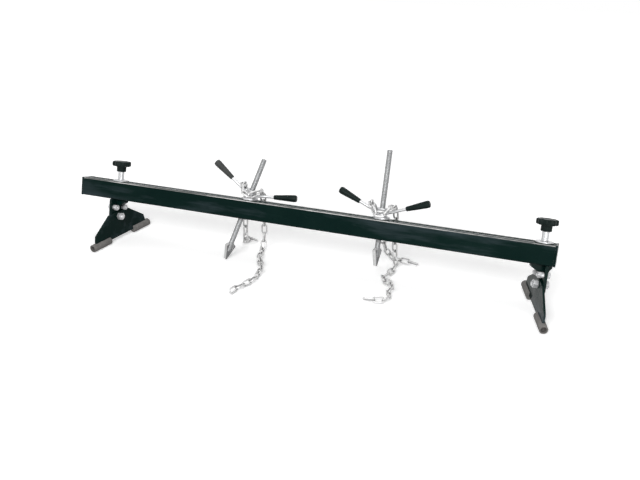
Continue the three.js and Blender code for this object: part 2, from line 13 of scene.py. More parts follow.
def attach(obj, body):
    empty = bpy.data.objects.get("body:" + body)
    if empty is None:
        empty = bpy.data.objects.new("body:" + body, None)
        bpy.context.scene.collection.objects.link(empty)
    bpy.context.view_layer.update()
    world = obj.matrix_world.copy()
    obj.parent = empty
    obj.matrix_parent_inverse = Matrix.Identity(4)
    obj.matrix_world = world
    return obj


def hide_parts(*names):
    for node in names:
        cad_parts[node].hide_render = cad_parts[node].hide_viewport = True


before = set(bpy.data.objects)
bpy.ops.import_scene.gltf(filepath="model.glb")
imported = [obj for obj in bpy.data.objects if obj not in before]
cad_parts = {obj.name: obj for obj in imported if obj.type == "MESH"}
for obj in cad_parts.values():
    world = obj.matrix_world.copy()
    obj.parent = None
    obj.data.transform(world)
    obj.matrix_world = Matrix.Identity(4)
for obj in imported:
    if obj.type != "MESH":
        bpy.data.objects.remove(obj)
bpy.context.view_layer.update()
MM = 0.001

GAP = 0.3  # between neighbouring pieces

BEAM_LENGTH = 1500
BEAM_HEIGHT = 58
BEAM_WIDTH = 58
BEAM_WALL = 4
BEAM_SLOT = 20
BEAM_BEND = 6  # outer radius
END_PLATE = 6

PIVOT_DROP = 114  # from the beam's top to the pivot of the foot plate
STOP_ANGLE = math.radians(15.8)
PLATE_OFFSET = 2  # of the plate's middle from the stud
PLATE_THICKNESS = 6
BRACKET_SHEET = 8
STUD_RADIUS = 6
# Place along the beam and swivel of each foot
FEET = {"left": (-621, math.radians(170.6)), "right": (712.5, math.radians(18.3))}

BALL_HEIGHT = 12  # of the middle of dish and dome, above the beam's top
ROD_RADIUS = 8
ROD_TOP, HOOK_TOP = 337, 30  # above the tip of the hook
# Place along the beam, lean along it, tip of the hook below the dish, turn of nut and hook
SPINDLES = {
    "left": (-159, math.radians(18), 216.4, math.radians(8), math.radians(61)),
    "right": (258, math.radians(1), 151, math.radians(-5), math.radians(73)),
}

# Both foot plates stand level on the floor when the squarer one is on its stop
LEAN = math.atan(math.tan(STOP_ANGLE) / max(abs(math.cos(swivel)) for _, swivel in FEET.values()))


def shift(x=0.0, y=0.0, z=0.0):
    return Matrix.Translation((x, y, z))


def turn(angle, axis):
    return Matrix.Rotation(angle, 4, axis)


def cad_middle(cad):
    """Middle of a CAD piece's bounding box, in metres."""
    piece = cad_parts[cad]
    corners = [piece.matrix_world @ Vector(corner) for corner in piece.bound_box]
    return sum(corners, Vector()) / len(corners)


# Middle of the beam's top, half the beam's height above the middle between the end plates
BEAM_MIDDLE = (cad_middle("end_plate_left") + cad_middle("end_plate_right")) / 2 / MM
BEAM_ORIGIN = BEAM_MIDDLE + turn(-LEAN, "X") @ Vector((0, 0, BEAM_HEIGHT / 2))
WORLD = shift(*BEAM_ORIGIN)
BEAM = WORLD @ turn(-LEAN, "X")
# Turns a prism's Z to run along X, with its outline in Y and Z
ALONG_X = Matrix(((0, 0, 1, 0), (1, 0, 0, 0), (0, 1, 0, 0), (0, 0, 0, 1)))


# Shader nodes

def fill(tree, made, inputs):
    """Gives each named input another node's output, or a value of its own."""
    for key, value in inputs.items():
        if isinstance(value, bpy.types.NodeSocket):
            tree.links.new(value, made.inputs[key])
        else:
            made.inputs[key].default_value = value


def node(tree, kind, inputs=None, **settings):
    made = tree.nodes.new(kind)
    for key, value in settings.items():
        setattr(made, key, value)
    fill(tree, made, inputs or {})
    return made


def noise(tree, scale, detail, roughness, stretch=(1, 1, 1), distortion=0.0):
    """Noise that is fixed to the object, with so many patches in a metre."""
    place = node(tree, "ShaderNodeTexCoord")
    mapping = node(tree, "ShaderNodeMapping", {"Vector": place.outputs["Object"], "Scale": stretch})
    made = node(tree, "ShaderNodeTexNoise", {
        "Vector": mapping.outputs[0], "Scale": scale, "Detail": detail, "Roughness": roughness,
        "Distortion": distortion,
    })
    return made.outputs["Fac"]


def ramp(tree, value, low, high, start=0.0, end=1.0):
    """Goes from start to end as the value goes from low to high, and no further."""
    made = node(tree, "ShaderNodeMapRange", {
        "Value": value, "From Min": low, "From Max": high, "To Min": start, "To Max": end,
    }, clamp=True)
    return made.outputs["Result"]


def blend(tree, value, first, second):
    """The first colour where the value is 0, the second where it is 1."""
    made = node(tree, "ShaderNodeMix", data_type="RGBA")
    tree.links.new(value, made.inputs["Factor"])
    colours = [socket for socket in made.inputs if socket.type == "RGBA"]
    for socket, colour in zip(colours, (first, second)):
        if isinstance(colour, bpy.types.NodeSocket):
            tree.links.new(colour, socket)
        else:
            socket.default_value = (*colour, 1)
    return next(socket for socket in made.outputs if socket.type == "RGBA")


def maths(tree, operation, *values):
    return node(tree, "ShaderNodeMath", dict(enumerate(values)), operation=operation).outputs[0]


def facing(tree, direction):
    """How far the surface faces the direction, 1 when it does fully."""
    place = node(tree, "ShaderNodeTexCoord")
    inputs = {0: place.outputs["Normal"], 1: direction}
    return node(tree, "ShaderNodeVectorMath", inputs, operation="DOT_PRODUCT").outputs["Value"]


def relief(tree, *layers):
    """A normal from bumps on one another, each given as height, depth in metres and strength."""
    normal = None
    for height, depth, strength in layers:
        inputs = {"Height": height, "Distance": depth, "Strength": strength}
        if normal is not None:
            inputs["Normal"] = normal
        normal = node(tree, "ShaderNodeBump", inputs).outputs[0]
    return normal


def edge_wear(tree, radius, low, high):
    """Where the surface turns within the radius, broken up by noise."""
    bevel = node(tree, "ShaderNodeBevel", {"Radius": radius}, samples=4)
    geometry = node(tree, "ShaderNodeNewGeometry")
    inputs = {0: bevel.outputs[0], 1: geometry.outputs["Normal"]}
    same = node(tree, "ShaderNodeVectorMath", inputs, operation="DOT_PRODUCT").outputs["Value"]
    patch = ramp(tree, noise(tree, 160, 5, 0.65), low, high)
    return maths(tree, "MULTIPLY", ramp(tree, same, 0.999, 0.93), patch)


def recess(tree, depth):
    """Goes from 1 in the open to 0 deep between neighbouring faces of one piece; a mask for painted
    shade.
    """
    made = node(tree, "ShaderNodeAmbientOcclusion", {"Distance": depth}, samples=6, only_local=True)
    return made.outputs["AO"]


def painted_bend_highlight(tree, direction):
    """A thin uneven painted highlight where the surface faces the direction, as along a bend."""
    line = ramp(tree, facing(tree, direction), 0.955, 0.99)
    patch = ramp(tree, noise(tree, 14, 4, 0.65, (0.5, 3, 3)), 0.42, 0.62, 0.25, 1)
    return maths(tree, "MULTIPLY", line, patch)


def seen_ray(tree):
    """1 for rays that show the background, straight or in a reflection, and 0 for the rest."""
    path = node(tree, "ShaderNodeLightPath").outputs
    either = maths(tree, "MAXIMUM", path["Is Camera Ray"], path["Is Glossy Ray"])
    return maths(tree, "MAXIMUM", either, path["Is Transmission Ray"])


# Materials. Each function here fills in a shader, or makes a function that does.


def material(name, build):
    """A material whose shader is built by the function."""
    made = bpy.data.materials.new(name)
    made.use_nodes = True
    tree = made.node_tree
    tree.nodes.clear()
    out = tree.nodes.new("ShaderNodeOutputMaterial")
    shader = tree.nodes.new("ShaderNodeBsdfPrincipled")
    tree.links.new(shader.outputs[0], out.inputs[0])
    build(tree, shader)
    return made


def painted(bend=None):
    """Dark gloss paint: faint streaks, dust, worn edges, and a painted highlight along a bend."""
    def build(tree, shader):
        cloud = ramp(tree, noise(tree, 9, 4, 0.6), 0.35, 0.7)
        streaks = ramp(tree, noise(tree, 5, 5, 0.62, (0.4, 2, 2.6)), 0.48, 0.72, 0, 0.85)
        dust = ramp(tree, noise(tree, 620, 2, 0.5), 0.66, 0.74, 0, 0.03)
        smear = noise(tree, 26, 4, 0.6, (0.25, 1, 1))
        colour = blend(tree, cloud, (0.0012, 0.0105, 0.009), (0.003, 0.014, 0.012))
        colour = blend(tree, streaks, colour, (0.05, 0.068, 0.079))
        colour = blend(tree, dust, colour, (0.3, 0.32, 0.31))
        colour = blend(tree, edge_wear(tree, 0.0012, 0.5, 0.68), colour, (0.16, 0.17, 0.17))
        if bend:
            # Painted highlight: a pale line where the surface faces the bend's direction
            colour = blend(tree, painted_bend_highlight(tree, bend), colour, (0.72, 0.71, 0.7))
        fill(tree, shader, {
            "Base Color": colour,
            "Roughness": ramp(tree, smear, 0.3, 0.75, 0.14, 0.34),
            "Specular IOR Level": 0.045,
            "Normal": relief(tree, (noise(tree, 330, 2, 0.4), 0.00006, 0.55),
                             (noise(tree, 38, 3, 0.5), 0.0003, 0.25)),
        })
    return build


def moulded(dark, light, rough):
    """Grained plastic, paler where its edges are worn."""
    def build(tree, shader):
        colour = blend(tree, ramp(tree, noise(tree, 34, 4, 0.6), 0.35, 0.7), dark, light)
        wear = ramp(tree, edge_wear(tree, 0.0014, 0.45, 0.7), 0, 1, 0, 0.5)
        fill(tree, shader, {
            "Base Color": blend(tree, wear, colour, (0.16, 0.18, 0.17)),
            "Roughness": ramp(tree, noise(tree, 60, 4, 0.6), 0.3, 0.7, *rough),
            "Specular IOR Level": 0.08,
            "Normal": relief(tree, (noise(tree, 1500, 2, 0.5), 0.00008, 0.5),
                             (noise(tree, 90, 2, 0.5), 0.0002, 0.2)),
        })
    return build


def rubbery(tree, shader):
    """Grey rubber, scuffed and streaked, with painted shade in its slit and hole."""
    cloud = ramp(tree, noise(tree, 70, 5, 0.65), 0.3, 0.72)
    scuffs = ramp(tree, noise(tree, 210, 4, 0.7, (1, 0.3, 1)), 0.62, 0.75, 0, 0.5)
    streaks = ramp(tree, noise(tree, 95, 4, 0.7, (1, 0.25, 1)), 0.57, 0.7, 0, 0.6)
    # Painted shade: nearly black deep in the slit and the end hole
    deep = ramp(tree, recess(tree, 0.01), 0.8, 0.3, 0, 0.95)
    colour = blend(tree, cloud, (0.107, 0.103, 0.099), (0.202, 0.194, 0.186))
    colour = blend(tree, scuffs, colour, (0.33, 0.32, 0.3))
    colour = blend(tree, streaks, colour, (0.04, 0.04, 0.04))
    fill(tree, shader, {
        "Base Color": blend(tree, deep, colour, (0.01, 0.01, 0.01)),
        "Roughness": ramp(tree, cloud, 0, 1, 0.72, 0.9),
        "Normal": relief(tree, (noise(tree, 1300, 3, 0.6), 0.0001, 0.6),
                         (noise(tree, 120, 3, 0.5), 0.0004, 0.3)),
    })


def plated(tone, cast, rough, scratch, metal, depth):
    """Zinc or steel: spangled colour, patchy grime, uneven gloss, fine scratches, painted shade in
    its recesses.
    """
    def build(tree, shader):
        spangle = ramp(tree, noise(tree, 190, 4, 0.6, distortion=0.6), 0.35, 0.68)
        grime = ramp(tree, noise(tree, 75, 5, 0.7), 0.56, 0.78, 0, 0.45)
        # Painted shade: the colour darkens to a tenth of the tone deep in recesses, as between
        # chain links and in thread grooves
        painted_recess_shade = ramp(tree, recess(tree, depth), 0.95, 0.35)
        colour = blend(tree, spangle, tone, cast)
        colour = blend(tree, grime, colour, [0.3 * part for part in tone])
        fill(tree, shader, {
            "Base Color": blend(tree, painted_recess_shade, colour, [0.1 * part for part in tone]),
            "Metallic": metal,
            "Specular IOR Level": 0.3,
            "Roughness": ramp(tree, noise(tree, 130, 4, 0.6), 0.3, 0.7, *rough),
            "Normal": relief(tree, (noise(tree, 520, 3, 0.6, scratch), 0.00008, 0.5),
                             (noise(tree, 170, 2, 0.5), 0.0002, 0.2)),
        })
    return build


def cut_plate(across):
    """Dark scale on the two broad faces of a plate, bright ground metal on its edges."""
    def build(tree, shader):
        broad = ramp(tree, maths(tree, "ABSOLUTE", facing(tree, across)), 0.8, 0.97)
        scale = blend(tree, ramp(tree, noise(tree, 60, 5, 0.65), 0.35, 0.7),
                      (0.13, 0.132, 0.135), (0.24, 0.242, 0.245))
        ground = blend(tree, ramp(tree, noise(tree, 150, 4, 0.6), 0.35, 0.7),
                       (0.66, 0.66, 0.66), (0.48, 0.48, 0.48))
        colour = blend(tree, broad, ground, scale)
        fill(tree, shader, {
            "Base Color": blend(tree, edge_wear(tree, 0.002, 0.4, 0.6), colour, (0.5, 0.5, 0.5)),
            "Metallic": 0.2,
            "Roughness": ramp(tree, noise(tree, 130, 4, 0.6), 0.3, 0.7, 0.3, 0.55),
            "Normal": relief(tree, (noise(tree, 420, 3, 0.6, (1, 1, 0.2)), 0.0001, 0.5),
                             (noise(tree, 120, 3, 0.5), 0.0004, 0.3)),
        })
    return build


# Direction that the rails' painted highlight along their upper front bend faces
UPPER_FRONT_BEND = (BEAM.to_3x3() @ Vector((0, -0.78, 0.62))).normalized()
PAINT = material("paint", painted())
RAIL_PAINT = material("rail_paint", painted(UPPER_FRONT_BEND))
PLASTIC = material("plastic", moulded(
    (0.004, 0.009, 0.008), (0.01, 0.017, 0.0155), (0.3, 0.5)))
GREY_GRIP = material("grip_grey", moulded(
    (0.042, 0.045, 0.044), (0.066, 0.07, 0.068), (0.35, 0.55)))
RUBBER = material("rubber", rubbery)
# Each plated finish ends with how far its painted shade reaches into recesses, in metres
ZINC = material("zinc", plated(
    (0.68, 0.68, 0.69), (0.5, 0.51, 0.52), (0.2, 0.42), (1, 1, 0.2), 0.5, 0.01))
CHAIN = material("chain_zinc", plated(
    (0.74, 0.74, 0.74), (0.6, 0.6, 0.6), (0.26, 0.46), (1, 1, 1), 0.35, 0.013))
STEEL = material("steel", plated(
    (0.36, 0.365, 0.37), (0.25, 0.255, 0.26), (0.18, 0.38), (1, 1, 0.15), 0.45, 0.003))


# Shapes

def smooth(mesh, sharp):
    """Smooth shading, broken at edges of more than so many degrees."""
    mesh.polygons.foreach_set("use_smooth", [True] * len(mesh.polygons))
    mesh.set_sharp_from_angle(angle=math.radians(sharp))


def mesh_piece(name, verts, faces, place, sharp=32):
    """An object from points in the frame of the place."""
    mesh = bpy.data.meshes.new(name)
    matrix = Matrix.Scale(MM, 4) @ place
    mesh.from_pydata([matrix @ Vector(point) for point in verts], [], faces)
    work = bmesh.new()
    work.from_mesh(mesh)
    bmesh.ops.remove_doubles(work, verts=work.verts, dist=1e-6)
    bmesh.ops.recalc_face_normals(work, faces=work.faces)
    work.to_mesh(mesh)
    work.free()
    smooth(mesh, sharp)
    return bpy.data.objects.new(name, mesh)


def circle(radius, height, sides, start=0.0):
    angles = [start + 2 * math.pi * step / sides for step in range(sides)]
    return [(radius * math.cos(angle), radius * math.sin(angle), height) for angle in angles]


def arc(across, up, radius, start, end, steps):
    """Flat points on an arc round a middle, from one angle in degrees to the other."""
    angles = [math.radians(start + (end - start) * step / steps) for step in range(steps + 1)]
    return [(across + radius * math.cos(angle), up + radius * math.sin(angle)) for angle in angles]


def ring_faces(rows, columns, closed_rows=False):
    """Faces between rows of points that each go round a piece."""
    faces = []
    for row in range(rows if closed_rows else rows - 1):
        after = (row + 1) % rows
        for column in range(columns):
            beside = (column + 1) % columns
            faces.append((row * columns + column, row * columns + beside,
                          after * columns + beside, after * columns + column))
    return faces


def turned(name, profile, place, sides=48):
    """A turned piece from radius and height, from axis to axis, or closed where it ends."""
    closed = profile[0] == profile[-1]
    points = profile[:-1] if closed else profile
    verts, rows = [], []
    for radius, height in points:
        rows.append(len(verts))
        verts += circle(radius, height, sides) if radius else [(0, 0, height)]
    faces = []
    for row in range(len(points) if closed else len(points) - 1):
        after = (row + 1) % len(points)
        for step in range(sides):
            beside = (step + 1) % sides
            a, b = (rows[row] + (at if points[row][0] else 0) for at in (step, beside))
            c, d = (rows[after] + (at if points[after][0] else 0) for at in (beside, step))
            face = list(dict.fromkeys((a, b, c, d)))
            if len(face) > 2:
                faces.append(face)
    return mesh_piece(name, verts, faces, place)


def tube(name, bore, radius, low, high, chamfer, place, sides=48):
    """A turned tube whose outer edges have a chamfer, given as width and height."""
    width, rise = chamfer
    return turned(name, [
        (bore, low), (radius - width, low), (radius, low + rise), (radius, high - rise),
        (radius - width, high), (bore, high), (bore, low),
    ], place, sides)


def threaded(name, radius, depth, pitch, low, high, place, sides=32, chamfer=1):
    """A rod with a real helical thread between two chamfered ends."""
    steps = 6  # to each turn of the thread
    slope, crest = 1.5, 0.25  # the flanks' steepness, and how flat crest and root are
    rows = round((high - low) / pitch * steps) + 1
    verts = [(0, 0, low)]
    for row in range(rows):
        height = low + (high - low) * row / (rows - 1)
        end = min(height - low, high - height)
        for column in range(sides):
            turns = (height - low) / pitch - column / sides
            wave = abs((turns % 1) * 2 - 1)
            cut = depth * min(1, max(0, slope * wave - crest))
            here = min(radius - cut, radius - chamfer + end)
            angle = 2 * math.pi * column / sides
            verts.append((here * math.cos(angle), here * math.sin(angle), height))
    verts.append((0, 0, high))
    faces = [tuple(index + 1 for index in face) for face in ring_faces(rows, sides)]
    last, top = len(verts) - 1, 1 + (rows - 1) * sides
    for column in range(sides):
        beside = (column + 1) % sides
        faces.append((0, 1 + beside, 1 + column))
        faces.append((last, top + column, top + beside))
    return mesh_piece(name, verts, faces, place, 50)


def hexagon(name, corner, low, high, place, bore=0.0, round_low=True):
    """A nut or a bolt's head with one corner on X. Its chamfers leave a round end face."""
    sides, sixth = 48, math.pi / 3
    flat = corner * math.cos(sixth / 2)
    chamfer = (corner - flat) * 0.6
    face_radius = flat * 0.985
    levels = [(low, round_low), (high - chamfer, False), (high, True)]
    if round_low:
        levels.insert(1, (low + chamfer, False))
    verts = []
    for height, rounded in levels:
        for step in range(sides):
            angle = 2 * math.pi * step / sides
            radius = flat / math.cos((angle + sixth / 2) % sixth - sixth / 2)
            if rounded:
                radius = min(radius, face_radius)
            angle += sixth / 2
            verts.append((radius * math.cos(angle), radius * math.sin(angle), height))
    if bore:
        verts += circle(bore, high, sides, sixth / 2) + circle(bore, low, sides, sixth / 2)
    faces = ring_faces(len(verts) // sides, sides, closed_rows=bool(bore))
    if not bore:
        faces += [tuple(range(sides)), tuple(range(len(verts) - sides, len(verts)))]
    return mesh_piece(name, verts, faces, place, 24)


def extruded(name, outline, low, high, place):
    """A prism along Z on a flat outline."""
    count = len(outline)
    verts = [(u, v, low) for u, v in outline] + [(u, v, high) for u, v in outline]
    faces = [(i, (i + 1) % count, count + (i + 1) % count, count + i) for i in range(count)]
    faces += [tuple(range(count)), tuple(range(2 * count - 1, count - 1, -1))]
    return mesh_piece(name, verts, faces, place)


def discard(pieces):
    for piece in pieces:
        mesh = piece.data
        bpy.data.objects.remove(piece)
        bpy.data.meshes.remove(mesh)


def joined(name, pieces):
    """One object from several, which are removed."""
    mesh = bpy.data.meshes.new(name)
    work = bmesh.new()
    for piece in pieces:
        work.from_mesh(piece.data)
    work.to_mesh(mesh)
    work.free()
    discard(pieces)
    return bpy.data.objects.new(name, mesh)


def cut_away(body, *cutters):
    """A mesh of the body without what the cutters take. All these pieces are removed."""
    for made in (body, *cutters):
        bpy.context.scene.collection.objects.link(made)
    for cutter in cutters:
        cut = body.modifiers.new("cut", "BOOLEAN")
        cut.operation = "DIFFERENCE"
        cut.solver = "EXACT"
        cut.object = cutter
    bpy.context.view_layer.update()
    evaluated = body.evaluated_get(bpy.context.evaluated_depsgraph_get())
    mesh = bpy.data.meshes.new_from_object(evaluated)
    discard([body, *cutters])
    return mesh


def finish_piece(made, finish, body, *nodes, edge=0.0, segments=2):
    """Gives a piece its material, rounded edges and body, in place of CAD nodes."""
    made.data.materials.clear()
    made.data.materials.append(finish)
    bpy.context.scene.collection.objects.link(made)
    if edge:
        bevel = made.modifiers.new("edge", "BEVEL")
        bevel.width = edge * MM
        bevel.segments = segments
        bevel.limit_method = "ANGLE"
        bevel.angle_limit = math.radians(32)
        bevel.harden_normals = True
    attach(made, body)
    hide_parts(*nodes)


def softened(name, finish, body, cad, edge, segments=3):
    """A copy of a CAD solid with rounded edges, in place of it."""
    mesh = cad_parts[cad].data.copy()
    work = bmesh.new()
    work.from_mesh(mesh)
    bmesh.ops.remove_doubles(work, verts=work.verts, dist=2e-6)
    bmesh.ops.dissolve_limit(work, angle_limit=math.radians(1), verts=work.verts, edges=work.edges)
    work.to_mesh(mesh)
    work.free()
    smooth(mesh, 32)
    finish_piece(bpy.data.objects.new(name, mesh), finish, body, cad, edge=edge, segments=segments)


# Beam

def make_rail(name, cad, place):
    """A bent channel with its open side towards the other rail."""
    lip, side = BEAM_SLOT / 2, BEAM_WIDTH / 2
    middle, top, bottom = side - BEAM_BEND, -BEAM_BEND, BEAM_BEND - BEAM_HEIGHT
    inner = BEAM_BEND - BEAM_WALL
    near = 0.5  # from each outer bend to a point that keeps the flats flat in smooth shading
    outline = [
        (lip, 0), (lip, -BEAM_WALL), *arc(middle, top, inner, 90, 0, 6),
        *arc(middle, bottom, inner, 0, -90, 6), (lip, BEAM_WALL - BEAM_HEIGHT), (lip, -BEAM_HEIGHT),
        (middle - near, -BEAM_HEIGHT), *arc(middle, bottom, BEAM_BEND, -90, 0, 10),
        (side, bottom + near), (side, top - near), *arc(middle, top, BEAM_BEND, 0, 90, 10),
        (middle - near, 0),
    ]
    half = BEAM_LENGTH / 2 - END_PLATE - GAP
    finish_piece(extruded(name, outline, -half, half, place @ ALONG_X), RAIL_PAINT, "beam", cad,
                 edge=0.5)


make_rail("beam_rail_rear", "rail_rear", BEAM)
make_rail("beam_rail_front", "rail_front", BEAM @ turn(math.pi, "Z"))
for side in ("left", "right"):
    softened(f"beam_end_{side}", PAINT, "beam", f"end_plate_{side}", 0.8)


# Feet

WASHER_RADIUS, WASHER_THICKNESS = 25, 3.5
SLEEVE_RADIUS, SLEEVE_HEIGHT = 9.5, 26.5
SLEEVE_LOW = GAP + WASHER_THICKNESS + GAP
KNOB_LOW = SLEEVE_LOW + SLEEVE_HEIGHT + GAP
STUD_REACH = 20  # into the knob
STUD_THREAD = 0.6, 1.75  # depth and pitch
BOLT_THREAD = 0.6, 1.5
BOLT_STANDOUT = 4  # past the nut
# Radius of the shank, radius to the corners of head and nut, and height of both
STOP_BOLT = 5, 9.4, 9
PIVOT_BOLT = 7, 12.1, 14
STOP_BESIDE, STOP_ABOVE = 19, 29  # of each stop bolt, from the pivot
STOP_COLLAR = 8  # radius of the nut's shoulder inside the plate
# Along X from the stud's axis: the nuts' side of the plate, and its side towards the bracket's leg
PLATE_FACE = PLATE_OFFSET - PLATE_THICKNESS / 2 - GAP
LEG_FACE = PLATE_OFFSET + PLATE_THICKNESS / 2 + GAP

KNOB_PROFILE = [
    (0, STUD_REACH + GAP), (STUD_RADIUS + GAP, STUD_REACH + GAP), (STUD_RADIUS + GAP, 0),
    (13.8, 0), (14.6, 0.5), (15, 1.4), (15, 14.4), (15.4, 16.1), (16.6, 16.9), (18.5, 17.1),
    (23, 17.05), (25.2, 17.5), (26.7, 18.6), (27.4, 20.4), (27.4, 29.6), (26.9, 31.4),
    (25.8, 32.6), (24, 33.3), (21.5, 33.45), (18.5, 33.35), (16.8, 32.8), (9, 32.6), (0, 32.6),
]
KNOB_RADIUS, KNOB_NECK = 27.4, 16.5  # radius between crest and hollow, height of the round neck
LOBES, LOBE_DEPTH, LOBE_START = 8, 2.2, 17  # the last is the radius where the lobes begin

PAD_RADIUS, PAD_REACH, PAD_LENGTH = 12, 129, 76
PAD_DROP = 67  # of its middle below the pivot
PAD_FLOOR = 11.5  # from its middle down to the flat that stands on the floor
PAD_HOLE_RADIUS, PAD_HOLE_DEPTH = 8, 11
PLATE_REACH = 114  # the plate's end inside the pad


def lobed_knob(name, place):
    sides = 160
    verts = []
    for radius, height in KNOB_PROFILE[:-1]:
        share = max(0, min(1, (radius - LOBE_START) / (KNOB_RADIUS - LOBE_START)))
        depth = LOBE_DEPTH * share if height > KNOB_NECK else 0
        for step in range(sides):
            angle = 2 * math.pi * step / sides
            here = radius + depth * math.cos(LOBES * angle)
            verts.append((here * math.cos(angle), here * math.sin(angle), height))
    rows = len(KNOB_PROFILE) - 1
    faces = ring_faces(rows, sides)
    verts.append((0, 0, KNOB_PROFILE[-1][1]))
    top = (rows - 1) * sides
    faces += [(top + step, top + (step + 1) % sides, len(verts) - 1) for step in range(sides)]
    return mesh_piece(name, verts, faces, place, 40)


def slit_pad(name, place):
    """A rubber pad along +Y over the plate's lower edge, with slit, floor flat and end hole."""
    inner, end, radius, hole = PAD_REACH - PAD_LENGTH, PAD_REACH, PAD_RADIUS, PAD_HOLE_RADIUS
    half = PLATE_THICKNESS / 2 + GAP
    below, wide, past = -GAP - 0.2, 20, 2  # the cutters reach past the pad by the last one
    still, mirrored = Matrix.Identity(4), Matrix.Diagonal((1, -1, 1, 1))
    body = turned("body", [
        (0, inner), (radius - 1.2, inner), (radius - 0.35, inner + 0.35), (radius, inner + 1.2),
        (radius, end - 1.6), (radius - 0.5, end - 0.5), (radius - 1.6, end), (0, end),
    ], still, 64)
    slot = extruded("slot", [
        (-half, below), (half, below), (half, radius + past), (-half, radius + past),
    ], inner - past, PLATE_REACH + GAP, mirrored)
    flat = extruded("flat", [
        (-wide, -wide), (wide, -wide), (wide, -PAD_FLOOR), (-wide, -PAD_FLOOR),
    ], inner - past, end + past, mirrored)
    bore = turned("hole", [
        (0, end - PAD_HOLE_DEPTH), (hole - 1, end - PAD_HOLE_DEPTH),
        (hole, end - PAD_HOLE_DEPTH + 1), (hole, end - 0.8), (hole + 0.8, end + 1), (0, end + 1),
    ], still, 40)
    shaped = cut_away(body, slot, flat, bore)
    along = place @ shift(PLATE_OFFSET, 0, -PAD_DROP) @ turn(-math.pi / 2, "X")
    shaped.transform(Matrix.Scale(MM, 4) @ along @ Matrix.Scale(1 / MM, 4))
    smooth(shaped, 35)
    return bpy.data.objects.new(name, shaped)


def foot_piece(side, made, look, body, node_name, **edges):
    finish_piece(made, look, f"{side}_foot_{body}", f"{side}_foot_{node_name}", **edges)


def soft_foot_piece(side, piece, look, body, node_name, *edges):
    softened(f"{side}_{piece}", look, f"{side}_foot_{body}", f"{side}_foot_{node_name}", *edges)


def make_clamp(side, here):
    """Washer, sleeve and knob, one above the other on the beam's top."""
    bore, top = STUD_RADIUS + GAP, GAP + WASHER_THICKNESS
    washer = tube(f"{side}_washer", bore, WASHER_RADIUS, GAP, top, (0.8, 0.9), here, 72)
    foot_piece(side, washer, ZINC, "clamp", "washer")
    top = SLEEVE_LOW + SLEEVE_HEIGHT
    sleeve = tube(f"{side}_sleeve", bore, SLEEVE_RADIUS, SLEEVE_LOW, top, (0.6, 0.6), here)
    foot_piece(side, sleeve, ZINC, "clamp", "sleeve")
    knob = lobed_knob(f"{side}_star_knob", here @ shift(0, 0, KNOB_LOW))
    foot_piece(side, knob, PLASTIC, "handwheel", "knob")


def make_stud(side, bracket):
    low, high = -BEAM_HEIGHT - GAP - BRACKET_SHEET, KNOB_LOW + STUD_REACH
    stud = threaded(f"{side}_stud", STUD_RADIUS, *STUD_THREAD, low, high, bracket)
    foot_piece(side, stud, ZINC, "swivel", "stud")


def bolt_and_nut(side, facts, middle, kind, number, nut_edge, collar=0):
    """A bolt along X, its head on the bracket's leg, its nut and thread end on the plate."""
    shank, corner, height = facts
    bore = shank + GAP
    along = middle @ turn(math.pi / 2, "Y")
    level = along @ turn(math.pi / 6, "Z")
    seat, tip = LEG_FACE + BRACKET_SHEET + GAP, PLATE_FACE - height - BOLT_STANDOUT
    under, inside = tip + BOLT_STANDOUT + 1, seat + 1
    head = hexagon("head", corner, seat, seat + height, level, round_low=False)
    rod = turned("shank", [(0, under), (shank, under), (shank, inside), (0, inside)], along, 32)
    thread = threaded("thread", shank, *BOLT_THREAD, tip, under + 1, along)
    bolt, nut = f"{kind}_bolt{number}", f"{kind}_nut{number}"
    foot_piece(side, joined(f"{side}_{bolt}", [head, rod, thread]), ZINC, "swivel", bolt, edge=0.3)
    parts = [hexagon("hex", corner, PLATE_FACE - height, PLATE_FACE, level, bore)]
    if collar:
        parts.append(turned("collar", [
            (bore, PLATE_FACE - 1), (collar, PLATE_FACE - 1), (collar, LEG_FACE - GAP),
            (bore, LEG_FACE - GAP), (bore, PLATE_FACE - 1),
        ], along, 40))
    foot_piece(side, joined(f"{side}_{nut}", parts), ZINC, "swivel", nut, edge=nut_edge)


def make_bolts(side, pivot):
    for index, half in enumerate((-1, 1), 1):
        stop = pivot @ shift(0, half * STOP_BESIDE, STOP_ABOVE)
        bolt_and_nut(side, STOP_BOLT, stop, "stop", f"_{index}", 0.25, STOP_COLLAR)
    bolt_and_nut(side, PIVOT_BOLT, pivot, "pivot", "", 0.3)


def make_pads(side, tilting):
    other = tilting @ shift(2 * PLATE_OFFSET) @ turn(math.pi, "Z")
    for index, place in enumerate((tilting, other), 1):
        pad = slit_pad(f"{side}_pad_{index}", place)
        foot_piece(side, pad, RUBBER, "rest", f"pad_{index}")


def make_foot(side):
    stud, swivel = FEET[side]
    here = BEAM @ shift(stud)
    bracket = here @ turn(swivel, "Z")
    pivot = bracket @ shift(0, 0, -PIVOT_DROP)
    make_clamp(side, here)
    make_stud(side, bracket)
    soft_foot_piece(side, "guide", STEEL, "carriage", "guide_block", 0.6, 2)
    soft_foot_piece(side, "bracket", PAINT, "swivel", "bracket", 0.7)
    make_bolts(side, pivot)
    soft_foot_piece(side, "foot_plate_soft", PAINT, "rest", "plate", 0.9)
    make_pads(side, pivot @ turn(math.atan(math.cos(swivel) * math.tan(LEAN)), "X"))


for side in FEET:
    make_foot(side)


# Spindles

